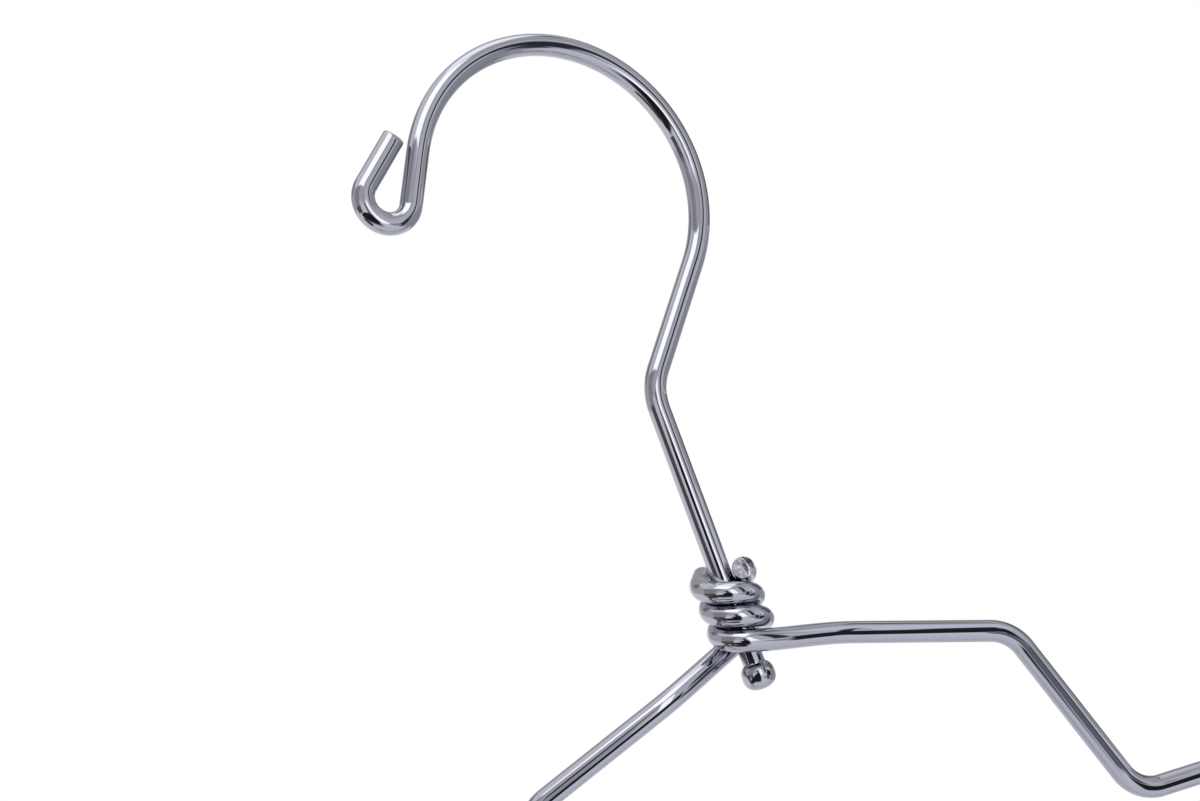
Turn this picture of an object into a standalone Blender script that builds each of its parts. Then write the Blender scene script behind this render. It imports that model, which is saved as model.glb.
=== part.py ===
"""Clip hanger bent from round polished steel wire.

One wire is the hook: a curled tip, a wide arc and a straight shank that ends in an
upset ball.  A second wire is the whole frame: both of its ends wind round the shank
as a left-handed two-start coil, so the hook turns in the coil, and between its ends
it runs out over two strap notches and shoulders to a straight bar below.
Two sprung clips ride on that bar, which is also the pin of their hinge.

Metres, +Z up.  The origin is where a rail bears in the hook, on the shank's axis.
The frame lies in the XZ plane, and its front is towards -Y.
"""
import math

import bmesh
import bpy
import numpy as np
from mathutils import Matrix, Vector

MM = 0.001

# Wire of the hook and the frame
WIRE_D = 3.5 * MM
SEAT_GAP = 0.3 * MM             # play between pieces that touch or turn on each other
WIRE_SIDES = 4                  # bevel resolution of the thick wire

# Hook, from the neck coil upwards
NECK_RISE = 41.3 * MM           # lowest turn of the coil to the corner of the shank's bend
NECK_BEND_R = 9.1 * MM
NECK_BEND = 42.4                # degrees, to the right
NECK_SLOPE = 19.4 * MM          # straight from that bend to the arc
ARC_R = 24.35 * MM
ARC_SWEEP = 193.9               # degrees, to the left over the top
CURL_LEAD = 8.75 * MM           # straight between the arc and the curled tip
CURL_R = 3.75 * MM
CURL_SWEEP = 200.7              # degrees, back to the right
TIP_LEG = 9.15 * MM
TIP_ROUND = 0.8 * MM            # softened cut edge of the tip
HOOK_TURN = 19.3                # degrees that the hook stands turned in the frame

# Upset ball on the end of the shank
HEAD_D = 5.25 * MM
HEAD_H = 4.5 * MM
HEAD_DROP = 5.7 * MM            # its middle, below the lowest turn of the coil
HEAD_SQUARE = 2.5               # 2 is round, more is squarer

# Neck coil: two ends of the frame wire, wound half a turn apart
COIL_PLAY = 0.7 * MM            # between shank and coil
COIL_LEAD = 8.3 * MM            # rise of each end in one turn
RIGHT_TURNS = 1.34              # turns of the right arm's end, which stops behind the shank
LEFT_TURNS = 1.283              # turns of the left arm's end, which stops in front
ARM_RETURN = 17.0 * MM          # run in which an arm comes back to the frame's plane

# Frame, from the coil to the bar; distances from the shank's axis and the lowest turn
# The arms are bent by hand: the right one is steeper, and starts from a little higher
RIGHT_ARM_SLOPE = 20.4          # degrees
RIGHT_ARM_LIFT = 1.1 * MM       # where the straight arm, drawn on, would cross the axis
LEFT_ARM_SLOPE = 16.5
LEFT_ARM_LIFT = -0.1 * MM
NOTCH_TOP_X = 40.8 * MM
NOTCH_TOP_R = 7.1 * MM
NOTCH_FOOT_X = 51.0 * MM
NOTCH_FOOT_DROP = 45.2 * MM
NOTCH_FOOT_R = 6.3 * MM
SHOULDER_X = 118.0 * MM         # middle of the shoulder's crown
SHOULDER_START = 5.5            # degrees, downwards
SHOULDER_END = 18.0             # degrees, downwards
SHOULDER_R = 520.0 * MM
HALF_WIDTH = 205.0 * MM
END_R = 14.5 * MM
BAR_DROP = 106.0 * MM

# Clips
CLIP_X = 112.0 * MM             # middle of each clip, from the middle of the bar
SHEET = 1.0 * MM
TAB_TOP = 17.6 * MM             # above the bar
TAB_REACH = 10.8 * MM
TAB_KNEE_Z = 15.0 * MM
TAB_KNEE_REACH = 8.9 * MM
TAB_HALF = 8.5 * MM
TAB_CORNER = 4.5 * MM
BACK_TOP = 3.0 * MM
BACK_FOOT = 5.0 * MM            # below the bar
JAW_BEND = 16.5 * MM
JAW_END = 27.0 * MM
JAW_HALF = 13.0 * MM
JAW_CORNER = 2.5 * MM
WAIST_HALF = 11.6 * MM
EAR_RING = 1.6 * MM             # metal round the bar's hole
EAR_INSET = 0.5 * MM            # outer ears inside the waist's edge
EAR_FOOT = 12.5 * MM
BEND_R = 6.0 * MM

# Rubber pad slipped over each jaw's edge
PAD_T = 1.35 * MM
PAD_TOP = 18.6 * MM
PAD_LIP_T = 1.0 * MM
PAD_LIP_TOP = 23.5 * MM
PAD_SIDE = 0.4 * MM             # pad wider than the jaw on each side
PAD_CORNER = 3.0 * MM
GROOVES = 3
GROOVE_W = 0.8 * MM
GROOVE_DEPTH = 0.4 * MM

# Torsion spring round the bar
SPRING_WIRE = 1.2 * MM
SPRING_PITCH = 1.75 * MM
SPRING_TURNS = 5                # whole turns, before the legs' angle is taken off
LEG_REACH_Z = 12.6 * MM         # height at which a leg meets its tab
LEG_FOOT = 2.6 * MM             # end of the leg that lies along the tab

BAR_HOLE_R = WIRE_D / 2 + SEAT_GAP
EAR_R = BAR_HOLE_R + EAR_RING
BACK_Y = EAR_R + SEAT_GAP + SHEET / 2
JAW_Y = SEAT_GAP / 2 + PAD_T + SEAT_GAP + SHEET / 2
COIL_R = WIRE_D + COIL_PLAY
ARC_STEP = 8.0                  # degrees between points of a bend
COIL_STEP = 15.0
LONGEST_FACET = 12.0 * MM


def clear_scene():
    for item in list(bpy.data.objects):
        bpy.data.objects.remove(item, do_unlink=True)


def steel(name, colour, roughness):
    return finish(name, colour, roughness, 1.0)


def finish(name, colour, roughness, metallic):
    material = bpy.data.materials.new(name)
    material.use_nodes = True
    shader = material.node_tree.nodes["Principled BSDF"]
    shader.inputs["Base Color"].default_value = (*colour, 1.0)
    shader.inputs["Roughness"].default_value = roughness
    shader.inputs["Metallic"].default_value = metallic
    return material


def walk(start, heading, moves):
    """Points of a flat bent wire.  A move is a straight's length or (radius, degrees)."""
    here = Vector(start)
    angle = math.radians(heading)
    points = [here.copy()]
    for move in moves:
        if not isinstance(move, tuple):
            here = here + move * Vector((math.cos(angle), math.sin(angle)))
            points.append(here.copy())
            continue
        radius, degrees = move
        side = math.copysign(1.0, degrees)
        normal = Vector((-math.sin(angle), math.cos(angle))) * side
        centre = here + radius * normal
        steps = max(3, math.ceil(abs(degrees) / ARC_STEP))
        turn = math.radians(degrees)
        for step in range(1, steps + 1):
            spoke = Matrix.Rotation(turn * step / steps, 2) @ (-radius * normal)
            points.append(centre + spoke)
        here = points[-1].copy()
        angle += turn
    return points


def rounded(corners, radii, step=ARC_STEP):
    """An open run of straights whose inner corners are arcs of the given radii."""
    corners = [Vector(corner) for corner in corners]
    points = [corners[0]]
    for before, corner, after, radius in zip(corners, corners[1:], corners[2:], radii):
        to_before = (before - corner).normalized()
        to_after = (after - corner).normalized()
        half = to_before.angle(to_after) / 2
        centre = corner + (to_before + to_after).normalized() * (radius / math.sin(half))
        first = corner + to_before * (radius / math.tan(half)) - centre
        turn = first.angle_signed(corner + to_after * (radius / math.tan(half)) - centre)
        steps = max(2, math.ceil(abs(math.degrees(turn)) / step))
        steps = max(steps, math.ceil(radius * abs(turn) / LONGEST_FACET))
        for index in range(steps + 1):
            points.append(centre + Matrix.Rotation(-turn * index / steps, 2) @ first)
    points.append(corners[-1])
    return points


def least_gap(points, diameter):
    """Least clear distance of a tube to itself, measured between points along it."""
    spacing = diameter / 8
    dense = [points[0]]
    for first, last in zip(points, points[1:]):
        steps = max(1, math.ceil((last - first).length / spacing))
        dense += [first.lerp(last, index / steps) for index in range(1, steps + 1)]
    dense = np.array(dense)
    run = np.concatenate([[0.0], np.cumsum(np.linalg.norm(np.diff(dense, axis=0), axis=1))])
    best = math.inf
    for index in range(len(dense)):
        far = run > run[index] + 4 * diameter
        if far.any():
            best = min(best, np.linalg.norm(dense[far] - dense[index], axis=1).min())
    return best - diameter


def wire(name, points, diameter, resolution, material, place=(0, 0, 0), shares=None):
    """A round wire along points; shares scale its diameter at each point."""
    curve = bpy.data.curves.new(name, "CURVE")
    curve.dimensions = "3D"
    curve.bevel_depth = diameter / 2
    curve.bevel_resolution = resolution
    curve.use_fill_caps = True
    curve.render_resolution_u = 0
    spline = curve.splines.new("POLY")
    spline.points.add(len(points) - 1)
    for index, (knot, point) in enumerate(zip(spline.points, points)):
        knot.co = (*point, 1.0)
        knot.radius = shares[index] if shares else 1.0
    curve.materials.append(material)
    item = bpy.data.objects.new(name, curve)
    item.location = place
    bpy.context.collection.objects.link(item)
    gap = least_gap(points, diameter) / MM
    print(f"{name}: {len(points)} points, least gap to itself {gap:.2f} mm")
    return item


def new_object(name, form, material=None, place=(0, 0, 0)):
    bmesh.ops.recalc_face_normals(form, faces=form.faces)
    mesh = bpy.data.meshes.new(name)
    form.to_mesh(mesh)
    form.free()
    item = bpy.data.objects.new(name, mesh)
    item.location = place
    if material:
        mesh.materials.append(material)
    bpy.context.collection.objects.link(item)
    return item


def prism(form, outline, low, high, flat):
    """Extrude a closed outline; flat puts its two coordinates and the depth in space."""
    base = [form.verts.new(flat(a, b, low)) for a, b in outline]
    face = form.faces.new(base)
    grown = bmesh.ops.extrude_face_region(form, geom=[face])
    lifted = [part for part in grown["geom"] if isinstance(part, bmesh.types.BMVert)]
    shift = Vector(flat(0, 0, high)) - Vector(flat(0, 0, low))
    bmesh.ops.translate(form, verts=lifted, vec=shift)


def along_x(a, b, depth):
    return (depth, a, b)


def along_y(a, b, depth):
    return (a, depth, b)


def guide(item):
    item.hide_render = True
    item.display_type = "WIRE"
    return item


def boolean(item, tool, operation):
    modifier = item.modifiers.new(operation.title(), "BOOLEAN")
    modifier.operation = operation
    modifier.object = tool


def smooth(item, degrees=35.0):
    item.data.shade_smooth()
    item.data.set_sharp_from_angle(angle=math.radians(degrees))


def hook_run():
    """The hook in its own plane, up from the shank's axis at the lowest turn."""
    bend_tangent = NECK_BEND_R * math.tan(math.radians(NECK_BEND) / 2)
    moves = [
        NECK_RISE - bend_tangent,
        (NECK_BEND_R, -NECK_BEND),
        NECK_SLOPE,
        (ARC_R, ARC_SWEEP),
        CURL_LEAD,
        (CURL_R, -CURL_SWEEP),
        TIP_LEG - TIP_ROUND,
    ]
    return walk((0, 0), 90, moves)


def arc_centre():
    """Centre of the hook's arc in the hook's plane."""
    bend_tangent = NECK_BEND_R * math.tan(math.radians(NECK_BEND) / 2)
    run = walk((0, 0), 90, [NECK_RISE - bend_tangent, (NECK_BEND_R, -NECK_BEND), NECK_SLOPE])
    heading = math.radians(90 - NECK_BEND)
    return run[-1] + ARC_R * Vector((-math.sin(heading), math.cos(heading)))


def coil_level():
    """Height of the coil's lowest turn, with the rail's bearing point at zero."""
    centre = arc_centre()
    inner = ARC_R - WIRE_D / 2
    return -(centre.y + math.sqrt(inner ** 2 - centre.x ** 2))


def make_hook(material):
    level = coil_level()
    turn = math.radians(HOOK_TURN)
    flat = []
    shares = []
    # Ball head: a squared circle turned about the shank, from its pole up to the shank
    power = 2 / HEAD_SQUARE
    top = math.acos((WIRE_D / HEAD_D) ** (1 / power))
    lean = -math.radians(84)
    while lean < top:
        rise = math.copysign(abs(math.sin(lean)) ** power, lean) * HEAD_H / 2
        flat.append(Vector((0, rise - HEAD_DROP)))
        shares.append(math.cos(lean) ** power * HEAD_D / WIRE_D)
        lean += math.radians(16)
    flat.append(Vector((0, math.sin(top) ** power * HEAD_H / 2 - HEAD_DROP)))
    shares.append(1.0)
    run = hook_run()
    flat += run
    shares += [1.0] * len(run)
    # Tip: the cut edge is rounded off over a short length
    ahead = (run[-1] - run[-2]).normalized()
    for step in (30, 60, 85):
        angle = math.radians(step)
        flat.append(run[-1] + ahead * TIP_ROUND * math.sin(angle))
        shares.append(1 - TIP_ROUND * (1 - math.cos(angle)) / (WIRE_D / 2))
    points = [Vector((p.x * math.cos(turn), p.x * math.sin(turn), p.y + level)) for p in flat]
    wire("hook", points, WIRE_D, WIRE_SIDES, material, shares=shares)


def coil_run(start, turns, level):
    """One end of the frame wire: up round the shank, clockwise from above, then straight."""
    points = []
    steps = round(turns * 360 / COIL_STEP)
    for step in range(steps + 1):
        share = turns * step / steps
        angle = math.radians(start - 360 * share)
        rise = level + COIL_LEAD * share
        points.append(Vector((COIL_R * math.cos(angle), COIL_R * math.sin(angle), rise)))
    angle = math.radians(start - 360 * turns)
    slope = COIL_LEAD / (2 * math.pi * COIL_R)
    ahead = Vector((math.sin(angle), -math.cos(angle), slope)).normalized()
    points.append(points[-1] + WIRE_D * ahead)
    return points


def shoulder_line(slope, lift):
    """Corners of one half of the frame, as (x, z) from the lowest turn of the coil."""
    arm = math.tan(math.radians(slope))
    start = math.tan(math.radians(SHOULDER_START))
    end = math.tan(math.radians(SHOULDER_END))
    crown = -NOTCH_FOOT_DROP - (SHOULDER_X - NOTCH_FOOT_X) * start
    side = HALF_WIDTH - WIRE_D / 2
    return [
        (ARM_RETURN, lift - ARM_RETURN * arm),
        (NOTCH_TOP_X, lift - NOTCH_TOP_X * arm),
        (NOTCH_FOOT_X, -NOTCH_FOOT_DROP),
        (SHOULDER_X, crown),
        (side, crown - (side - SHOULDER_X) * end),
        (side, -BAR_DROP),
        (0, -BAR_DROP),
    ]


def half_frame(slope, lift, level):
    """One half of the frame, from beside the coil to the middle of the bar."""
    arm = math.tan(math.radians(slope))
    helix = COIL_LEAD / (2 * math.pi * COIL_R)
    points = []
    steps = 12
    for step in range(1, steps):
        share = step / steps
        back = share * share * (3 - 2 * share)
        # The arm leaves at the coil's slope and eases into its own
        drop = back * (lift - ARM_RETURN * arm)
        drop -= share * (1 - share) * ARM_RETURN * ((1 - share) * helix - share * arm)
        points.append(Vector((ARM_RETURN * share, -COIL_R * (1 - back), level + drop)))
    radii = (NOTCH_TOP_R, NOTCH_FOOT_R, SHOULDER_R, END_R, END_R)
    flat = rounded(shoulder_line(slope, lift), radii)
    return points + [Vector((p.x, 0, p.y + level)) for p in flat]


def make_frame(material):
    level = coil_level()
    right = half_frame(RIGHT_ARM_SLOPE, RIGHT_ARM_LIFT, level)
    left = half_frame(LEFT_ARM_SLOPE, LEFT_ARM_LIFT, level)
    left = [Vector((-p.x, -p.y, p.z)) for p in reversed(left[:-1])]
    right_end = coil_run(-90, RIGHT_TURNS, level)
    left_end = coil_run(90, LEFT_TURNS, level)
    points = list(reversed(right_end)) + right + left + left_end
    wire("frame_wire", points, WIRE_D, WIRE_SIDES, material)


def spine(side):
    """Middle of a jaw's sheet seen along the bar, from the tab's tip down; side is +1 or -1."""
    corners = [
        (TAB_REACH, TAB_TOP),
        (TAB_KNEE_REACH, TAB_KNEE_Z),
        (BACK_Y, BACK_TOP),
        (BACK_Y, -BACK_FOOT),
        (JAW_Y, -JAW_BEND),
        (JAW_Y, -JAW_END),
    ]
    points = rounded(corners, (BEND_R / 2, BEND_R, BEND_R, BEND_R))
    return [Vector((side * p.x, p.y)) for p in points]


def spine_between(side, high, low):
    """The part of a jaw's spine between two heights, ends included."""
    line = spine(side)
    part = []
    for upper, lower in zip(line, line[1:]):
        if high < upper.y and lower.y <= high:
            part.append(upper.lerp(lower, (upper.y - high) / (upper.y - lower.y)))
        if low < lower.y < high:
            part.append(lower)
        if lower.y <= low < upper.y:
            part.append(upper.lerp(lower, (upper.y - low) / (upper.y - lower.y)))
    return part


def corner_arc(x, z, radius, start, end):
    """Quarter round of an outline, as points about (x, z)."""
    steps = 5
    angles = [math.radians(start + (end - start) * step / steps) for step in range(steps + 1)]
    return [(x + radius * math.cos(a), z + radius * math.sin(a)) for a in angles]


def jaw_outline(waist):
    """Front view of a jaw: rounded finger tab, waist at the bar and the wide jaw."""
    right = corner_arc(TAB_HALF - TAB_CORNER, TAB_TOP - TAB_CORNER, TAB_CORNER, 90, 0)
    right += [(waist, BACK_TOP), (waist, -BACK_FOOT), (JAW_HALF, -JAW_BEND + BACK_FOOT / 2)]
    right += corner_arc(JAW_HALF - JAW_CORNER, -JAW_END + JAW_CORNER, JAW_CORNER, 0, -90)
    left = [(-x, z) for x, z in reversed(right)]
    return right + left


def ear_outline(side):
    """One ear seen along the bar: a round lug that widens into the jaw's sheet."""
    rim = []
    for step in range(13):
        angle = math.radians(80 + 15 * step)
        rim.append((side * EAR_R * math.cos(angle), EAR_R * math.sin(angle)))
    seam = spine_between(side, EAR_R, -EAR_FOOT)
    return rim + [(p.x, p.y) for p in reversed(seam)]


def make_jaw(name, side, waist, ear_face, place, material):
    """A stamped jaw: bent sheet cut to its outline, two ears and a hole for the bar."""
    line = spine(side)
    form = bmesh.new()
    edge = [form.verts.new((-2 * JAW_HALF, p.x, p.y)) for p in line]
    seams = [form.edges.new(pair) for pair in zip(edge, edge[1:])]
    grown = bmesh.ops.extrude_edge_only(form, edges=seams)
    moved = [part for part in grown["geom"] if isinstance(part, bmesh.types.BMVert)]
    bmesh.ops.translate(form, verts=moved, vec=(4 * JAW_HALF, 0, 0))
    jaw = new_object(name, form, material, place)
    thick = jaw.modifiers.new("Sheet", "SOLIDIFY")
    thick.thickness = SHEET
    thick.offset = 0
    thick.use_even_offset = True

    form = bmesh.new()
    prism(form, jaw_outline(waist), -2 * TAB_REACH, 2 * TAB_REACH, along_y)
    boolean(jaw, guide(new_object(name + "_outline", form, place=place)), "INTERSECT")

    form = bmesh.new()
    for face in (-ear_face, ear_face - SHEET):
        prism(form, ear_outline(side), face, face + SHEET, along_x)
    boolean(jaw, guide(new_object(name + "_ears", form, place=place)), "UNION")

    form = bmesh.new()
    bmesh.ops.create_cone(
        form, cap_ends=True, segments=24, radius1=BAR_HOLE_R, radius2=BAR_HOLE_R,
        depth=4 * JAW_HALF, matrix=Matrix.Rotation(math.radians(90), 4, "Y"))
    boolean(jaw, guide(new_object(name + "_bore", form, place=place)), "DIFFERENCE")
    smooth(jaw)


def pad_profile(side):
    """Rubber pad seen along the bar: grooved grip, foot under the jaw and outer lip."""
    grip = SEAT_GAP / 2
    inner = grip + PAD_T
    outer = JAW_Y + SHEET / 2 + SEAT_GAP
    sole = -JAW_END - SEAT_GAP
    foot = sole - PAD_T
    points = [(inner, -PAD_TOP), (grip, -PAD_TOP)]
    land = (-PAD_TOP - foot) / (GROOVES + 1)
    for groove in range(1, GROOVES + 1):
        middle = -PAD_TOP - groove * land
        points += [
            (grip, middle + GROOVE_W / 2),
            (grip + GROOVE_DEPTH, middle + GROOVE_W / 4),
            (grip + GROOVE_DEPTH, middle - GROOVE_W / 4),
            (grip, middle - GROOVE_W / 2),
        ]
    points += [
        (grip, foot), (outer + PAD_LIP_T, foot), (outer + PAD_LIP_T, -PAD_LIP_TOP),
        (outer, -PAD_LIP_TOP), (outer, sole), (inner, sole),
    ]
    return [(side * y, z) for y, z in points]


def make_pad(name, side, place, material):
    form = bmesh.new()
    prism(form, pad_profile(side), -2 * JAW_HALF, 2 * JAW_HALF, along_x)
    pad = new_object(name, form, material, place)
    half = JAW_HALF + PAD_SIDE
    foot = -JAW_END - SEAT_GAP - PAD_T
    right = [(half, -PAD_TOP / 2)]
    right += corner_arc(half - PAD_CORNER, foot + PAD_CORNER, PAD_CORNER, 0, -90)
    right = [(x, min(z, -PAD_TOP / 2)) for x, z in right]
    form = bmesh.new()
    outline = right + [(-x, z) for x, z in reversed(right)]
    prism(form, outline, -2 * TAB_REACH, 2 * TAB_REACH, along_y)
    boolean(pad, guide(new_object(name + "_outline", form, place=place)), "INTERSECT")
    smooth(pad)


def make_spring(name, place, material):
    """Torsion spring: coil round the bar, and two crossed legs that push the tabs apart."""
    coil_r = BAR_HOLE_R + SPRING_WIRE / 2
    knee = Vector((-TAB_KNEE_REACH, TAB_KNEE_Z))
    root = Vector((-BACK_Y, BACK_TOP))
    up = (knee - root).normalized()
    inward = Vector((up.y, -up.x))
    stand_off = SHEET / 2 + SEAT_GAP + SPRING_WIRE / 2
    meet = root + up * ((LEG_REACH_Z - root.y) / up.y) + inward * stand_off
    tip = meet + up * LEG_FOOT
    heading = math.atan2(meet.y, meet.x) + math.asin(coil_r / meet.length)
    touch = heading - math.pi / 2
    sweep = SPRING_TURNS * 2 * math.pi - (math.pi - 2 * touch)
    pitch = SPRING_PITCH / (2 * math.pi)
    length = pitch * sweep
    steps = round(math.degrees(sweep) / 36)
    coil = []
    for step in range(1, steps):
        angle = touch - sweep * step / steps
        x = -length / 2 + length * step / steps
        coil.append(Vector((x, coil_r * math.cos(angle), coil_r * math.sin(angle))))
    root_front = Vector((-length / 2, coil_r * math.cos(touch), coil_r * math.sin(touch)))
    front_leg = [Vector((-length / 2, *tip)), Vector((-length / 2, *meet)), root_front]
    rear_leg = [Vector((-p.x, -p.y, p.z)) for p in reversed(front_leg)]
    points = front_leg + coil + rear_leg
    wire(name, points, SPRING_WIRE, 1, material, place)


def make_clip(prefix, x, materials):
    place = (x, 0, coil_level() - BAR_DROP)
    outer_face = WAIST_HALF - EAR_INSET
    inner_face = outer_face - SHEET - SEAT_GAP
    make_jaw(prefix + "_rear_jaw", 1, WAIST_HALF, outer_face, place, materials["jaw"])
    front_waist = inner_face + EAR_INSET
    make_jaw(prefix + "_front_jaw", -1, front_waist, inner_face, place, materials["jaw"])
    make_pad(prefix + "_rear_pad", 1, place, materials["pad"])
    make_pad(prefix + "_front_pad", -1, place, materials["pad"])
    make_spring(prefix + "_spring", place, materials["spring"])


def main():
    clear_scene()
    make_hook(steel("hook_steel", (0.62, 0.62, 0.66), 0.08))
    make_frame(steel("frame_steel", (0.62, 0.62, 0.66), 0.08))
    materials = {
        "jaw": steel("jaw_steel", (0.58, 0.58, 0.61), 0.16),
        "spring": steel("spring_steel", (0.5, 0.5, 0.52), 0.25),
        "pad": finish("pad_rubber", (0.03, 0.03, 0.035), 0.6, 0.0),
    }
    make_clip("left_clip", -CLIP_X, materials)
    make_clip("right_clip", CLIP_X, materials)
    print(f"coil level {coil_level() / MM:.3f} mm, bar {(coil_level() - BAR_DROP) / MM:.3f} mm")


main()
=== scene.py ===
# Clip hanger of polished steel wire, dressed around its CAD frame.
# Lengths in the dictionaries are millimetres and angles degrees, unless a note says otherwise;
# the scene is in metres.
import math

import bmesh
import bpy
from mathutils import Matrix, Vector, noise


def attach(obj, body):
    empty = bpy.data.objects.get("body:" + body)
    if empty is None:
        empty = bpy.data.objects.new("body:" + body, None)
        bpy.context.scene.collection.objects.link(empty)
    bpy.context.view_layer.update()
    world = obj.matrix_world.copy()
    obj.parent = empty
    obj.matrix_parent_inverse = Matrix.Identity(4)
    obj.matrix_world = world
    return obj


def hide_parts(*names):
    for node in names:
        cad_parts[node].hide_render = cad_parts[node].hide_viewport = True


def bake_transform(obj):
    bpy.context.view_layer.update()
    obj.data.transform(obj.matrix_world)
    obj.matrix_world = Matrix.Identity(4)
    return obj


mm = 0.001
upwards = Vector((0, 0, 1))

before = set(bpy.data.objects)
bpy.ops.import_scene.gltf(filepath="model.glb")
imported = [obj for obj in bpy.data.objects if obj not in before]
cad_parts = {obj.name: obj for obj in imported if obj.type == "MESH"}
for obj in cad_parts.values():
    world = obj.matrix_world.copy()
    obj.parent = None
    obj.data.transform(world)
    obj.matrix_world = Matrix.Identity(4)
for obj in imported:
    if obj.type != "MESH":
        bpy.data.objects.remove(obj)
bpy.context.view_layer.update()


def toLinear(colour):  # sRGB hex to the linear values that a shader takes
    channels = [int(colour[at:at + 2], 16) / 255 for at in (1, 3, 5)]
    return [c / 12.92 if c <= 0.04045 else ((c + 0.055) / 1.055) ** 2.4 for c in channels] + [1.0]


# A node with its settings, values and links; an input goes by number where several have one name
def addNode(tree, kind, inputs=None, **settings):
    node = tree.nodes.new(kind)
    for name, value in settings.items():
        setattr(node, name, value)
    for name, value in (inputs or {}).items():
        socket = node.inputs[name]
        if isinstance(value, bpy.types.NodeSocket):
            tree.links.new(value, socket)
        elif isinstance(value, str):
            socket.default_value = toLinear(value)
        else:
            socket.default_value = value
    return node


def newMaterial(name):
    material = bpy.data.materials.new(name)
    material.use_nodes = True
    material.node_tree.nodes.clear()
    return material, material.node_tree


def addPiece(name, form, *materials, smooth=True):  # the finished bmesh, as an object at the origin
    bmesh.ops.recalc_face_normals(form, faces=form.faces)
    mesh = bpy.data.meshes.new(name)
    for material in materials:
        mesh.materials.append(material)
    form.to_mesh(mesh)
    form.free()
    if smooth:
        mesh.shade_smooth()
    piece = bpy.data.objects.new(name, mesh)
    bpy.context.scene.collection.objects.link(piece)
    return piece


hookWireLook = {
    "colour": "#B6B7C1", "shade": "#AFB0BB", "roughness": 0.03, "wornRoughness": 0.05,
    "lineWidth": 0.25, "lineLength": 10.0, "lineDepth": 0.01, "lineStrength": 0.04,
    "markLength": 6.0}
markRange = (0.35, 0.75)     # where marks begin and where they are full, as shares of the noise


# Steel wire, drawn through a die and polished bright after bending.
# The eye gets a cool grey mirror with faint lines along the wire.
def drawnWireSteel(name, look):
    material, tree = newMaterial(name)
    # Die lines are microns wide; 0.25 mm round the wire and 40 times that along it still show
    across, along = 1 / (look["lineWidth"] * mm), 1 / (look["lineLength"] * mm)
    drawn = addNode(tree, "ShaderNodeAttribute", attribute_name="drawn")
    stretched = addNode(tree, "ShaderNodeMapping", {
        "Vector": drawn.outputs["Vector"], "Scale": (across, across, along)})
    lines = addNode(tree, "ShaderNodeTexNoise", {
        "Vector": stretched.outputs["Vector"], "Scale": 1.0, "Detail": 2.0, "Roughness": 0.6})
    bump = addNode(tree, "ShaderNodeBump", {
        "Height": lines.outputs["Fac"], "Strength": look["lineStrength"],
        "Distance": look["lineDepth"] * mm})
    # Handling marks change the gloss and the tone a little
    place = addNode(tree, "ShaderNodeTexCoord")
    marks = addNode(tree, "ShaderNodeTexNoise", {
        "Vector": place.outputs["Object"], "Scale": 1 / (look["markLength"] * mm),
        "Detail": 5.0, "Roughness": 0.65})
    gloss = addNode(tree, "ShaderNodeMapRange", {
        "Value": marks.outputs["Fac"], "From Min": markRange[0], "From Max": markRange[1],
        "To Min": look["roughness"], "To Max": look["roughness"] + look["wornRoughness"]})
    tint = addNode(tree, "ShaderNodeMix", {
        "Factor": marks.outputs["Fac"], 6: look["colour"], 7: look["shade"]}, data_type="RGBA")
    shader = addNode(tree, "ShaderNodeBsdfPrincipled", {
        "Base Color": tint.outputs[2], "Metallic": 1.0,
        "Roughness": gloss.outputs["Result"], "Normal": bump.outputs["Normal"]})
    addNode(tree, "ShaderNodeOutputMaterial", {"Surface": shader.outputs["BSDF"]})
    return material


polishedWire = drawnWireSteel("polished_drawn_steel_wire", hookWireLook)

# Wire bending: an open ring is fed, bent and drawn on, as a bender's feed and rolls do
wireShape = {"diameter": 3.5}      # the same for the hook and the frame wire

wireMaking = {
    "sides": 60,
    "bendStep": 3.0,         # degrees from ring to ring in a bend
    "longestStep": 4.0,      # and the longest step in a wide one
    "bendMark": 0.25,        # short step at both ends of a straight
    "sectionRings": 20,      # rings in a section of the mesh
    "leadSteps": 24,         # rings from the coil to the straight part of an arm
    "edgeStep": 15,          # degrees from ring to ring on a rounded end
    "faceInset": 1.08}       # a rounded end's face starts this many edge sizes in


def ringPlace(place, heading):
    return Matrix.Translation(place) @ heading.to_track_quat("Z", "Y").to_matrix().to_4x4()


def startWire(place, heading, diameter, share=1.0):  # share: the ring's part of the full thickness
    form = bmesh.new()
    layer = form.verts.layers.float_vector.new("drawn")
    bmesh.ops.create_circle(
        form, cap_ends=False, segments=wireMaking["sides"], radius=diameter / 2, matrix=Matrix())
    for vert in form.verts:
        vert[layer] = vert.co.copy()
    bmesh.ops.scale(form, vec=(share, share, 1), verts=form.verts)
    bmesh.ops.transform(form, matrix=ringPlace(place, heading), verts=form.verts)
    return {
        "form": form, "layer": layer, "ring": form.edges[:], "sections": [], "rings": 0, "skin": 0,
        "place": Vector(place), "heading": Vector(heading).normalized(), "run": 0.0, "share": share}


def ringVerts(wire):
    return list({vert for edge in wire["ring"] for vert in edge.verts})


def startSection(wire):  # operators slow down as a mesh grows, so a long wire is made in sections
    wire["form"].verts.index_update()
    kept = {vert.index for vert in ringVerts(wire)}
    section = wire["form"].copy()
    section.verts.index_update()
    bmesh.ops.delete(
        section, geom=[vert for vert in section.verts if vert.index not in kept], context="VERTS")
    wire["sections"].append(wire["form"])
    wire["form"], wire["ring"], wire["rings"] = section, section.edges[:], 0
    wire["layer"] = section.verts.layers.float_vector["drawn"]


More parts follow.
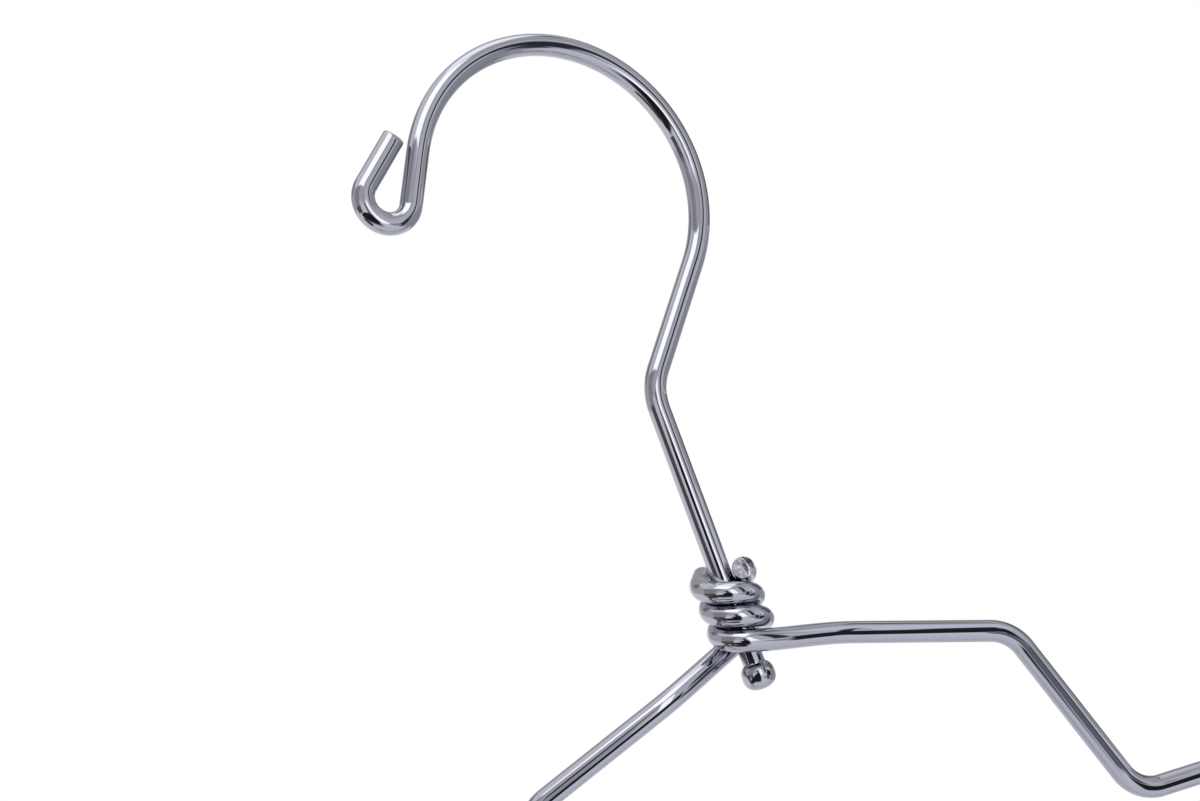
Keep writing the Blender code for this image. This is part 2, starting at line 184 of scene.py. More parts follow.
def joinSections(wire):
    joined = bmesh.new()
    for section in wire["sections"] + [wire["form"]]:
        mesh = bpy.data.meshes.new("section")
        section.to_mesh(mesh)
        section.free()
        joined.from_mesh(mesh)
        bpy.data.meshes.remove(mesh)
    bmesh.ops.remove_doubles(joined, verts=joined.verts, dist=0.0005 * mm)
    return joined


def pullRing(wire, length):  # one more ring on the open end, still where the last one is
    if wire["rings"] > wireMaking["sectionRings"]:
        startSection(wire)
    wire["rings"] += 1
    grown = bmesh.ops.extrude_edge_only(wire["form"], edges=wire["ring"])["geom"]
    verts = [part for part in grown if isinstance(part, bmesh.types.BMVert)]
    fresh = set(verts)
    for part in grown:
        if isinstance(part, bmesh.types.BMFace):
            part.material_index = wire["skin"]
    wire["ring"] = [
        part for part in grown
        if isinstance(part, bmesh.types.BMEdge) and fresh.issuperset(part.verts)]
    wire["run"] += length
    for vert in verts:
        vert[wire["layer"]].z = wire["run"]
    return verts


def draw(wire, length, share=None):  # one step on, and to another thickness where share is given
    verts = pullRing(wire, length)
    step = wire["heading"] * length
    bmesh.ops.translate(wire["form"], vec=step, verts=verts)
    wire["place"] = wire["place"] + step
    if share is not None:
        scale = share / wire["share"]
        bmesh.ops.scale(
            wire["form"], vec=(scale,) * 3, verts=verts, space=Matrix.Translation(-wire["place"]))
        wire["share"] = share


def feed(wire, length):  # straight on; the short ends keep a bend's shading out of the straight
    mark = min(wireMaking["bendMark"] * mm, length / 3)
    for part in (mark, length - 2 * mark, mark):
        draw(wire, part)


def bend(wire, radius, axis, degrees, rise=0.0):  # round a roll; rise climbs along the roll's axis
    axis = Vector(axis).normalized()
    side = axis.cross(wire["heading"])
    side = (side - axis * side.dot(axis)).normalized() * math.copysign(1, degrees)
    centre = wire["place"] + side * radius
    arc = math.radians(abs(degrees)) * radius
    steps = max(2, math.ceil(abs(degrees) / wireMaking["bendStep"]),
                math.ceil(arc / (wireMaking["longestStep"] * mm)))
    turn = Matrix.Rotation(math.radians(degrees) / steps, 3, axis)
    climb = axis * rise / steps
    for _ in range(steps):
        verts = pullRing(wire, math.hypot(arc, rise) / steps)
        bmesh.ops.rotate(wire["form"], cent=centre, matrix=turn, verts=verts)
        bmesh.ops.translate(wire["form"], vec=climb, verts=verts)
        wire["place"] = centre + turn @ (wire["place"] - centre) + climb
        centre = centre + climb
        wire["heading"] = turn @ wire["heading"]


def lead(wire, points):  # through free points, each ring square to the run
    for before, here, after in zip(points, points[1:], points[2:] + [None]):
        ahead = (here - before if after is None else after - before).normalized()
        verts = pullRing(wire, (here - wire["place"]).length)
        swing = wire["heading"].rotation_difference(ahead).to_matrix()
        bmesh.ops.rotate(wire["form"], cent=wire["place"], matrix=swing, verts=verts)
        bmesh.ops.translate(wire["form"], vec=here - wire["place"], verts=verts)
        wire["place"] = here.copy()
        wire["heading"] = ahead


def feedRound(wire, corners, radii):  # straights between corners, with an arc at each inner corner
    for corner, after, radius in zip(corners, corners[1:], radii):
        ahead = (corner - wire["place"]).normalized()
        onward = (after - corner).normalized()
        turn = ahead.angle(onward)
        axis = ahead.cross(onward).normalized()
        length = (corner - wire["place"]).length - radius * math.tan(turn / 2)
        wire["heading"] = ahead
        feed(wire, length)
        bend(wire, radius, axis, math.degrees(turn))
        wire["heading"] = onward
    feed(wire, (corners[-1] - wire["place"]).length)


def closeEnd(wire):  # one flat face over the open ring
    for face in bmesh.ops.contextual_create(wire["form"], geom=wire["ring"])["faces"]:
        face.material_index = wire["skin"]


def roundEnd(wire, size):  # a cut edge that has been tumbled round
    radius = wireShape["diameter"] * mm / 2
    start = 0.0
    for angle in range(wireMaking["edgeStep"], 91, wireMaking["edgeStep"]):
        sweep = math.radians(angle)
        along = size * math.sin(sweep)
        draw(wire, along - start, 1 - size * (1 - math.cos(sweep)) / radius)
        start = along
    draw(wire, 0.0, 1 - size * wireMaking["faceInset"] / radius)     # keeps the face's shading flat
    closeEnd(wire)


hookShape = {
    "rise": 41.3,            # from the coil's lowest turn to the corner of the neck's bend
    "neckRadius": 9.1, "neckBend": 42.4, "slope": 19.4,
    "arcRadius": 24.35, "arcSweep": 193.9,
    "curlLead": 8.75, "curlRadius": 3.75, "curlSweep": 200.7,
    "tipLeg": 9.5, "tipRound": 0.5,
    "tipCut": 22.0, "tipCutRun": 1.6,        # the blade went through slantwise
    "turned": 19.3,          # the hook's plane, turned in the frame
    "headWidth": 5.25, "headHeight": 4.5, "headDrop": 5.7, "headSquare": 2.5,
    "headFlat": 86.0, "headStep": 6.0}       # where the head's flat foot begins; from ring to ring

neckTangent = hookShape["neckRadius"] * math.tan(math.radians(hookShape["neckBend"]) / 2)


def coilLevel():  # height of the coil's lowest turn: the rail bears on the hook at zero
    shape = hookShape
    lean = math.radians(shape["neckBend"])
    across = (shape["neckRadius"] * (1 - math.cos(lean)) + shape["slope"] * math.sin(lean)
              - shape["arcRadius"] * math.cos(lean))
    height = (shape["rise"] - neckTangent + shape["neckRadius"] * math.sin(lean)
              + shape["slope"] * math.cos(lean) + shape["arcRadius"] * math.sin(lean))
    inner = shape["arcRadius"] - wireShape["diameter"] / 2
    return -(height + math.sqrt(inner ** 2 - across ** 2)) * mm


level = coilLevel()


def makeHook():
    shape = hookShape
    turned = math.radians(shape["turned"])
    axis = Vector((math.sin(turned), -math.cos(turned), 0))    # turns the hook's side upwards
    diameter = wireShape["diameter"]

    # The upset head: a squared ball, ring by ring from its flat foot up to the shank
    power = 2 / shape["headSquare"]
    top = math.acos((diameter / shape["headWidth"]) ** (1 / power))
    rings = []
    lean = -math.radians(shape["headFlat"])
    while lean < top:
        height = math.copysign(abs(math.sin(lean)) ** power, lean) * shape["headHeight"] / 2
        rings.append((height, math.cos(lean) ** power * shape["headWidth"] / diameter))
        lean += math.radians(shape["headStep"])
    rings.append((math.sin(top) ** power * shape["headHeight"] / 2, 1.0))
    base = level - shape["headDrop"] * mm
    wire = startWire((0, 0, base + rings[0][0] * mm), upwards, diameter * mm, rings[0][1])
    closeEnd(wire)
    for (low, _), (high, share) in zip(rings, rings[1:]):
        draw(wire, (high - low) * mm, share)

    feed(wire, level - wire["place"].z + (shape["rise"] - neckTangent) * mm)
    bend(wire, shape["neckRadius"] * mm, axis, -shape["neckBend"])
    feed(wire, shape["slope"] * mm)
    bend(wire, shape["arcRadius"] * mm, axis, shape["arcSweep"])
    feed(wire, shape["curlLead"] * mm)
    bend(wire, shape["curlRadius"] * mm, axis, -shape["curlSweep"])
    feed(wire, (shape["tipLeg"] - shape["tipRound"] - shape["tipCutRun"]) * mm)
    draw(wire, shape["tipCutRun"] * mm)
    slant = math.tan(math.radians(shape["tipCut"]))
    for vert in ringVerts(wire):
        back = wire["heading"] * slant * axis.dot(vert.co - wire["place"])
        bmesh.ops.translate(wire["form"], vec=-back, verts=[vert])
    roundEnd(wire, shape["tipRound"] * mm)

    hook = addPiece("hook_wire", joinSections(wire), polishedWire)
    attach(hook, "hook")
    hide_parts("hook")
    print("hook: tip at", [round(c / mm, 2) for c in wire["place"]])


makeHook()

shearLook = {
    "torn": "#B4B4BA", "slid": "#A9A9B2", "roughness": 0.2,
    "border": 0.05,          # half the width over which torn turns to slid
    "crinkle": 0.34, "depth": 0.07, "strength": 0.8,
    "lineWidth": 0.13, "lineLength": 4.0, "lineShare": 0.18}


# The cropped end of the wire: crinkled bright steel where it tore, drawn lines where the blade slid
def shearedSteel(name, edge):
    look = shearLook
    material, tree = newMaterial(name)
    place = addNode(tree, "ShaderNodeTexCoord")
    split = addNode(tree, "ShaderNodeSeparateXYZ", {"Vector": place.outputs["Object"]})
    torn = addNode(tree, "ShaderNodeMapRange", {
        "Value": split.outputs["X"], "From Min": edge + look["border"] * mm,
        "From Max": edge - look["border"] * mm, "To Min": 0.0, "To Max": 1.0},
        interpolation_type="SMOOTHSTEP")
    crinkle = addNode(tree, "ShaderNodeTexNoise", {
        "Vector": place.outputs["Object"], "Scale": 1 / (look["crinkle"] * mm),
        "Detail": 3.0, "Roughness": 0.65, "Distortion": 1.2})
    across, along = 1 / (look["lineWidth"] * mm), 1 / (look["lineLength"] * mm)
    stretched = addNode(tree, "ShaderNodeMapping", {
        "Vector": place.outputs["Object"], "Scale": (across, across, along)})
    lines = addNode(tree, "ShaderNodeTexNoise", {
        "Vector": stretched.outputs["Vector"], "Scale": 1.0, "Detail": 2.0})
    rough = addNode(tree, "ShaderNodeMath", {
        0: crinkle.outputs["Fac"], 1: torn.outputs["Result"]}, operation="MULTIPLY")
    ridges = addNode(tree, "ShaderNodeMath", {
        0: lines.outputs["Fac"], 1: look["lineShare"]}, operation="MULTIPLY")
    height = addNode(tree, "ShaderNodeMath", {
        0: rough.outputs[0], 1: ridges.outputs[0]}, operation="ADD")
    bump = addNode(tree, "ShaderNodeBump", {
        "Height": height.outputs[0], "Strength": look["strength"], "Distance": look["depth"] * mm})
    tone = addNode(tree, "ShaderNodeMix", {
        "Factor": torn.outputs["Result"], 6: look["slid"], 7: look["torn"]}, data_type="RGBA")
    shader = addNode(tree, "ShaderNodeBsdfPrincipled", {
        "Base Color": tone.outputs[2], "Metallic": 1.0, "Roughness": look["roughness"],
        "Normal": bump.outputs["Normal"]})
    addNode(tree, "ShaderNodeOutputMaterial", {"Surface": shader.outputs["BSDF"]})
    return material


frameShape = {
    "coilRadius": 3.62, "coilLead": 7.7, "rightTurns": 1.34, "leftTurns": 1.3, "endLead": 2.25,
    "armReturn": 17.0, "rightSlope": 20.4, "rightLift": 1.1, "leftSlope": 16.5, "leftLift": -0.1,
    "notchTop": 40.8, "notchTopRadius": 7.1,
    "notchFoot": 51.0, "notchDrop": 45.2, "notchFootRadius": 6.3,
    "crown": 118.0, "shoulderStart": 5.5, "shoulderEnd": 18.0, "shoulderRadius": 520.0,
    "halfWidth": 205.0, "endRadius": 14.5, "barDrop": 106.0}

shearShape = {
    "burr": 0.09,            # length of the rolled edge
    "roll": ((0.992, 0.35), (0.972, 0.4), (0.945, 0.25)),    # shares of the thickness and the burr
    "faceRings": 9,
    "tear": 0.1,             # where the tear begins, as a share of the radius off the middle
    "tearRise": 6.0, "grain": 0.6, "grainDepth": 0.05, "slideDepth": 0.3}


def shearedEnd(wire, away, seed):  # a rolled edge, then the flat face, tilted where the blade slid
    shape = shearShape
    radius = wireShape["diameter"] * mm / 2
    for share, advance in shape["roll"]:
        draw(wire, shape["burr"] * mm * advance, share)
    wire["skin"] = 1
    for ring in range(shape["faceRings"]):
        draw(wire, 0.0, 1 - (ring + 1) / (shape["faceRings"] + 1))
        for vert in ringVerts(wire):
            across = (vert.co - wire["place"]).dot(away) / radius + shape["tear"]
            torn = max(0.0, min(1.0, across * shape["tearRise"]))
            slid = min(0.0, across) * (1 - torn)
            grain = noise.noise(vert.co / (shape["grain"] * mm) + Vector((seed, 0, 0)))
            height = shape["grainDepth"] * torn * grain + shape["slideDepth"] * slid
            vert.co += wire["heading"] * mm * height
    closeEnd(wire)
    wire["skin"] = 0


def armCorners(slope, lift):  # x and z from the lowest turn, for the straight arm to the bar
    shape = frameShape
    arm = math.tan(math.radians(slope))
    crown = -shape["notchDrop"] - (shape["crown"] - shape["notchFoot"]) * math.tan(
        math.radians(shape["shoulderStart"]))
    side = shape["halfWidth"] - wireShape["diameter"] / 2
    end = crown - (side - shape["crown"]) * math.tan(math.radians(shape["shoulderEnd"]))
    return [(shape["armReturn"], lift - shape["armReturn"] * arm),
            (shape["notchTop"], lift - shape["notchTop"] * arm),
            (shape["notchFoot"], -shape["notchDrop"]), (shape["crown"], crown),
            (side, end), (side, -shape["barDrop"])]


def armLead(slope, lift):  # the arm leaves at the coil's slope and eases into the frame's plane
    shape = frameShape
    arm = math.tan(math.radians(slope))
    helix = shape["coilLead"] / (2 * math.pi * shape["coilRadius"])
    points = []
    for step in range(wireMaking["leadSteps"] + 1):
        share = step / wireMaking["leadSteps"]
        back = share * share * (3 - 2 * share)
        drop = back * (lift - shape["armReturn"] * arm)
        drop -= share * (1 - share) * shape["armReturn"] * ((1 - share) * helix - share * arm)
        point = Vector((shape["armReturn"] * share, -shape["coilRadius"] * (1 - back), drop))
        points.append(point * mm + upwards * level)
    return points


def makeFrameWire():
    shape = frameShape
    diameter = wireShape["diameter"] * mm
    radius, climb = shape["coilRadius"] * mm, shape["coilLead"] * mm
    stub = shape["endLead"] * mm

    # From the cut end behind the neck, down the coil and out over the right arm
    angle = math.radians(-90 - 360 * shape["rightTurns"])
    place = Vector((
        radius * math.cos(angle), radius * math.sin(angle), level + climb * shape["rightTurns"]))
    ahead = Vector((math.sin(angle), -math.cos(angle), climb / (2 * math.pi * radius))).normalized()
    wire = startWire(place + ahead * stub, -ahead, diameter)
    wire["skin"] = 1
    closeEnd(wire)
    wire["skin"] = 0
    feed(wire, stub)
    bend(wire, radius, upwards, 360 * shape["rightTurns"], -climb * shape["rightTurns"])
    lead(wire, armLead(shape["rightSlope"], shape["rightLift"]))

    # Notch, shoulder, end bend and bar, and up again on the left
    down = armCorners(shape["rightSlope"], shape["rightLift"])[1:]
    up = [(-x, z) for x, z in reversed(armCorners(shape["leftSlope"], shape["leftLift"]))]
    radii = [shape[name] * mm for name in (
        "notchTopRadius", "notchFootRadius", "shoulderRadius", "endRadius", "endRadius")]
    corners = [Vector((x * mm, 0, z * mm + level)) for x, z in down + up]
    feedRound(wire, corners, radii + radii[::-1])

    # The left arm goes behind the shank, and its coil ends in front of it
    left = reversed(armLead(shape["leftSlope"], shape["leftLift"]))
    lead(wire, [Vector((-point.x, -point.y, point.z)) for point in left])
    bend(wire, radius, upwards, -360 * shape["leftTurns"], climb * shape["leftTurns"])
    feed(wire, stub - shearShape["burr"] * mm)
    shearedEnd(wire, Vector((-1, 0, 0)), seed=3.0)
    tearEdge = wire["place"].x + shearShape["tear"] * diameter / 2
    sheared = shearedSteel("sheared_steel", tearEdge)

    piece = addPiece("frame_wire_bent", joinSections(wire), polishedWire, sheared)
    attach(piece, "frame")
    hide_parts("frame_wire")
    print("frame wire: length", round(wire["run"] / mm), "mm, end at",
          [round(c / mm, 2) for c in wire["place"]])


makeFrameWire()

jawLook = {
    "colour": "#C6C6CF", "roughness": 0.07, "wornRoughness": 0.09, "markLength": 7.0,
    "peel": 1.6, "peelDepth": 0.025, "peelStrength": 0.35,
    "swell": 9.0, "swellDepth": 0.35, "swellStrength": 0.5}


# Stamped steel with nickel and chrome on it: brighter than the wire, with a faint orange peel over
# the slow swells that the press leaves in thin sheet
def platedSteel(name, look):
    material, tree = newMaterial(name)
    place = addNode(tree, "ShaderNodeTexCoord")
    peel = addNode(tree, "ShaderNodeTexNoise", {
        "Vector": place.outputs["Object"], "Scale": 1 / (look["peel"] * mm), "Detail": 2.0})
    marks = addNode(tree, "ShaderNodeTexNoise", {
        "Vector": place.outputs["Object"], "Scale": 1 / (look["markLength"] * mm),
        "Detail": 6.0, "Roughness": 0.7})
    gloss = addNode(tree, "ShaderNodeMapRange", {
        "Value": marks.outputs["Fac"], "From Min": markRange[0], "From Max": markRange[1],
        "To Min": look["roughness"], "To Max": look["roughness"] + look["wornRoughness"]})
    swell = addNode(tree, "ShaderNodeTexNoise", {
        "Vector": place.outputs["Object"], "Scale": 1 / (look["swell"] * mm), "Detail": 1.0})
    pressed = addNode(tree, "ShaderNodeBump", {
        "Height": swell.outputs["Fac"], "Strength": look["swellStrength"],
        "Distance": look["swellDepth"] * mm})
    bump = addNode(tree, "ShaderNodeBump", {
        "Height": peel.outputs["Fac"], "Strength": look["peelStrength"],
        "Distance": look["peelDepth"] * mm, "Normal": pressed.outputs["Normal"]})
    shader = addNode(tree, "ShaderNodeBsdfPrincipled", {
        "Base Color": look["colour"], "Metallic": 1.0,
        "Roughness": gloss.outputs["Result"], "Normal": bump.outputs["Normal"]})
    addNode(tree, "ShaderNodeOutputMaterial", {"Surface": shader.outputs["BSDF"]})
    return material


padLook = {
    "colour": "#29292C", "dusty": "#3A3A3E", "roughness": 0.62,
    "grain": 0.35, "grainDepth": 0.05, "grainStrength": 0.35, "dust": 9.0}


# Moulded soft rubber: nearly black, matt, with a fine spark texture from the mould
def mouldedRubber(name, look):
    material, tree = newMaterial(name)
    place = addNode(tree, "ShaderNodeTexCoord")
    grain = addNode(tree, "ShaderNodeTexNoise", {
        "Vector": place.outputs["Object"], "Scale": 1 / (look["grain"] * mm),
        "Detail": 3.0, "Roughness": 0.6})
    dust = addNode(tree, "ShaderNodeTexNoise", {
        "Vector": place.outputs["Object"], "Scale": 1 / (look["dust"] * mm),
        "Detail": 6.0, "Roughness": 0.7})
    tone = addNode(tree, "ShaderNodeMix", {
        "Factor": dust.outputs["Fac"], 6: look["colour"], 7: look["dusty"]}, data_type="RGBA")
    bump = addNode(tree, "ShaderNodeBump", {
        "Height": grain.outputs["Fac"], "Strength": look["grainStrength"],
        "Distance": look["grainDepth"] * mm})
    shader = addNode(tree, "ShaderNodeBsdfPrincipled", {
        "Base Color": tone.outputs[2], "Roughness": look["roughness"],
        "Normal": bump.outputs["Normal"]})
    addNode(tree, "ShaderNodeOutputMaterial", {"Surface": shader.outputs["BSDF"]})
    return material


# Spring wire is drawn too, but left duller and with its die lines showing
springLook = dict(
    hookWireLook, colour="#A9A9AE", shade="#8C8C92", roughness=0.16, wornRoughness=0.1,
    lineStrength=0.3)
springSteel = drawnWireSteel("drawn_spring_wire", springLook)
jawSteel = platedSteel("chromed_pressed_steel", jawLook)
padRubber = mouldedRubber("moulded_black_rubber", padLook)

clipShape = {
    "middle": 112.0, "wire": 1.2, "pitch": 1.75, "turns": 5, "play": 0.3,
    "backTop": 3.0, "back": 4.45, "knee": 8.9, "kneeHeight": 15.0, "sheet": 1.0,
    "legReach": 12.6, "legFoot": 2.6, "legBend": 0.9}

edgeShape = {
    "edge": 0.22, "segments": 3,
    "sharp": 38.0,           # edges that turn more than this are rounded
    "flat": 1.5,             # and those that turn less are taken out
    "weld": 0.002}


def finishedCopy(name, node, material):  # the CAD solid, its edges broken as tumbling leaves them
    shape = edgeShape
    form = bmesh.new()
    form.from_mesh(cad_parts[node].data)
    bmesh.ops.remove_doubles(form, verts=form.verts, dist=shape["weld"] * mm)
    bmesh.ops.dissolve_limit(
        form, angle_limit=math.radians(shape["flat"]), use_dissolve_boundaries=False,
        verts=form.verts, edges=form.edges, delimit=set())
    sharp = [edge for edge in form.edges if len(edge.link_faces) == 2
             and edge.calc_face_angle(0) > math.radians(shape["sharp"])]
    bmesh.ops.bevel(
        form, geom=sharp, offset=shape["edge"] * mm, offset_type="OFFSET",
        segments=shape["segments"], profile=0.5, affect="EDGES", material=-1, clamp_overlap=True)
    piece = addPiece(name, form, material)
    weigh = piece.modifiers.new("Even shading", "WEIGHTED_NORMAL")
    weigh.keep_sharp = True
    return piece


def makeSpring(name, x, node):  # round the bar; its crossed legs push the tabs apart
    shape = clipShape
    coilRadius = wireShape["diameter"] / 2 + shape["play"] + shape["wire"] / 2

    # In the clip's side view: y to the front and z up, from the bar's middle
    root = Vector((-shape["back"], shape["backTop"]))
    up = (Vector((-shape["knee"], shape["kneeHeight"])) - root).normalized()
    inward = Vector((up.y, -up.x))
    standOff = shape["sheet"] / 2 + shape["play"] + shape["wire"] / 2
    meet = root + up * ((shape["legReach"] - root.y) / up.y) + inward * standOff
    foot = meet + up * shape["legFoot"]
    touch = math.atan2(meet.y, meet.x) + math.asin(coilRadius / meet.length) - math.pi / 2
    leave = Vector((coilRadius * math.cos(touch), coilRadius * math.sin(touch)))
    sweep = 360 * shape["turns"] - (180 - 2 * math.degrees(touch))
    length = shape["pitch"] * sweep / 360
    middle = Vector((x * mm, 0, level - frameShape["barDrop"] * mm))

    def spot(y, z, side):
        return middle + Vector((side * length / 2, y, z)) * mm

    tip, knee, start = spot(*foot, -1), spot(*meet, -1), spot(*leave, -1)
    wire = startWire(tip, (knee - tip).normalized(), shape["wire"] * mm)
    closeEnd(wire)
    feedRound(wire, [knee, start], [shape["legBend"] * mm])
    bend(wire, coilRadius * mm, (-1, 0, 0), sweep, -length * mm)
    feedRound(wire, [spot(-meet.x, meet.y, 1), spot(-foot.x, foot.y, 1)], [shape["legBend"] * mm])
    closeEnd(wire)
    piece = addPiece(name, joinSections(wire), springSteel)
    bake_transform(piece)
    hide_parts(node)


def makeClip(side, x):
    for part, body, material, slot in (
            ("rear_jaw", "rear", jawSteel, "jaw_steel"),
            ("front_jaw", "front", jawSteel, "jaw_steel"),
            ("rear_pad", "rear", padRubber, "pad_rubber"),
            ("front_pad", "front", padRubber, "pad_rubber")):
        node = f"{side}_clip_{part}"
        piece = finishedCopy(f"{side}_{part}_finished", node, material)
        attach(piece, f"{side}_{body}")
        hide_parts(node)
    makeSpring(f"{side}_spring_wound", x, f"{side}_clip_spring")
    print("clip:", side)


makeClip("left", -clipShape["middle"])
makeClip("right", clipShape["middle"])

# Camera at the photograph's place
view = {
    "place": (-57.1, -257.68, -66.65), "heading": 10.724, "tilt": 2.597, "roll": -20.384,
    "lens": 51.0, "sensor": 36.0}
camera = bpy.data.objects.new("Camera", bpy.data.cameras.new("Camera"))
camera.data.lens = view["lens"]
camera.data.sensor_width = view["sensor"]
camera.data.clip_start = 0.01
camera.data.clip_end = 50.0
camera.matrix_world = (
    Matrix.Translation(Vector(view["place"]) * mm)
    @ Matrix.Rotation(-math.radians(view["heading"]), 4, "Z")
    @ Matrix.Rotation(math.radians(90 + view["tilt"]), 4, "X")
    @ Matrix.Rotation(math.radians(view["roll"]), 4, "Z"))
bpy.context.scene.collection.objects.link(camera)
bpy.context.scene.camera = camera


# Studio: a white room, and the soft boxes, walls and cards that the steel shows.
# 0, 0 degrees is straight out in front of the hanger; azimuth grows to the right, elevation up.
studioMiddle = Vector((0, 0, -0.06))


def wayTo(azimuth, elevation):
    turned, raised = math.radians(azimuth), math.radians(elevation)
    outwards = Vector((math.sin(turned), -math.cos(turned), 0))
    return outwards * math.cos(raised) + upwards * math.sin(raised)


# A sheet that glows up to its soft edge and that only reflections show
def panel(name, corner, along, up, colour, strength, soft):
    material, tree = newMaterial(name)
    sheet = addNode(tree, "ShaderNodeUVMap", uv_map="sheet")
    split = addNode(tree, "ShaderNodeSeparateXYZ", {"Vector": sheet.outputs["UV"]})
    shares = []
    for side, length, fade in (("X", along.length, soft[0]), ("Y", up.length, soft[1])):
        inwards = addNode(tree, "ShaderNodeMath", {
            0: split.outputs[side], 1: 0.5}, operation="PINGPONG")
        shares.append(addNode(tree, "ShaderNodeMapRange", {
            "Value": inwards.outputs[0], "From Min": 0.0, "From Max": min(0.5, fade / length),
            "To Min": 0.0, "To Max": 1.0}, interpolation_type="SMOOTHSTEP"))
    share = addNode(tree, "ShaderNodeMath", {
        0: shares[0].outputs["Result"], 1: shares[1].outputs["Result"]}, operation="MULTIPLY")
    clear = addNode(tree, "ShaderNodeBsdfTransparent")
    glow = addNode(tree, "ShaderNodeEmission", {"Color": colour, "Strength": strength})
    mixed = addNode(tree, "ShaderNodeMixShader", {
        "Fac": share.outputs[0], 1: clear.outputs["BSDF"], 2: glow.outputs["Emission"]})
    addNode(tree, "ShaderNodeOutputMaterial", {"Surface": mixed.outputs["Shader"]})
    material.cycles.emission_sampling = "NONE"
    form = bmesh.new()
    form.loops.layers.uv.new("sheet")
    bmesh.ops.create_grid(form, x_segments=1, y_segments=1, size=0.5, calc_uvs=True)
    across, upright = along.normalized(), up.normalized()
    place = Matrix((across, upright, across.cross(upright))).transposed().to_4x4()
    place.translation = corner + along / 2 + up / 2
    bmesh.ops.scale(form, vec=(along.length, up.length, 1), verts=form.verts)
    bmesh.ops.transform(form, matrix=place, verts=form.verts)
    piece = addPiece(name, form, material, smooth=False)
    for ray in ("camera", "diffuse", "shadow", "transmission", "volume_scatter"):
        setattr(piece, "visible_" + ray, False)


# A panel that faces the middle; its width, height and soft edge are degrees seen from there
def card(name, azimuth, elevation, distance, width, height, strength, soft,
         roll=0.0, colour="#FFFFFF"):
    way = wayTo(azimuth, elevation)
    upright = (upwards - way * way.z).normalized()
    across = upright.cross(way)
    turn = Matrix.Rotation(math.radians(-roll), 3, way)
    across, upright = turn @ across, turn @ upright
    half = [distance * math.tan(math.radians(size / 2)) for size in (width, height)]
    corner = studioMiddle + way * distance - across * half[0] - upright * half[1]
    panel(name, corner, across * 2 * half[0], upright * 2 * half[1], colour, strength,
          [distance * math.tan(math.radians(fade)) for fade in soft])


def lamp(name, azimuth, elevation, distance, width, height, power):
    data = bpy.data.lights.new(name, "AREA")
    data.shape = "RECTANGLE"
    data.size, data.size_y = width, height
    data.energy = power
    way = wayTo(azimuth, elevation)
    box = bpy.data.objects.new(name, data)
    box.matrix_world = ringPlace(studioMiddle + way * distance, way)
    box.visible_camera = False
    box.visible_glossy = False                    # the steel shows the panels instead
    bpy.context.scene.collection.objects.link(box)


# Azimuth, elevation, distance in metres, width, height, strength, soft edge, then roll and colour
walls = {
    "wall_left": (-110, 28, 2.6, 92, 56, 0.64, (14, 10)),
    "wall_left_front": (-55, 30, 2.4, 70, 56, 0.42, (12, 8)),
    "wall_front": (-12, 28, 2.3, 60, 36, 0.66, (10, 8)),
    "light_wall": (-36, 10, 2.1, 26, 28, 1.0, (9, 8)),
    "dark_doorway_left": (-71, 0, 1.9, 52, 28, 0.12, (10, 8)),
    "wall_front_right": (30, 15, 2.35, 60, 60, 0.8, (10, 8)),
    "wall_right": (95, 2, 2.4, 80, 60, 0.52, (8, 14)),
    "bright_doorway": (64, 4, 2.3, 12, 40, 0.95, (4, 8)),
    "wall_right_high": (72, 40, 2.3, 70, 40, 0.62, (10, 10)),
    "wall_back_right": (125, 15, 2.6, 50, 60, 0.34, (14, 14)),
    "wall_back": (180, 38, 2.6, 90, 50, 0.55, (16, 10))}
darkCards = {
    "black_front": (-38, -20, 0.9, 70, 32, 0.03, (6, 5)),
    "brown_cloth": (-75, -25, 0.3, 34, 34, 0.17, (8, 7), 0, "#F0A79C"),
    "black_lens": (-13, -12, 0.27, 28, 29, 0.02, (3, 4)),
    "black_over_lens": (-9, 9, 0.27, 13, 26, 0.05, (3.5, 5)),
    "dark_right": (44, 6, 0.15, 16, 56, 0.06, (4, 8), 10, "#D6EAFF"),
    "dark_right_low": (50, -27, 0.27, 15, 36, 0.08, (4, 6), 6, "#CBE7FF"),
    "dark_shelf_right": (100, 50, 2.2, 16, 12, 0.1, (4, 4)),
    "dark_behind_right": (117, 6, 2.2, 30, 46, 0.14, (9, 10)),
    "corner_behind_left": (-136, 42, 2.3, 26, 34, 0.28, (8, 8)),
    "rim_of_soft_box": (14, 27, 0.9, 44, 4, 0.25, (8, 1.5), -36)}

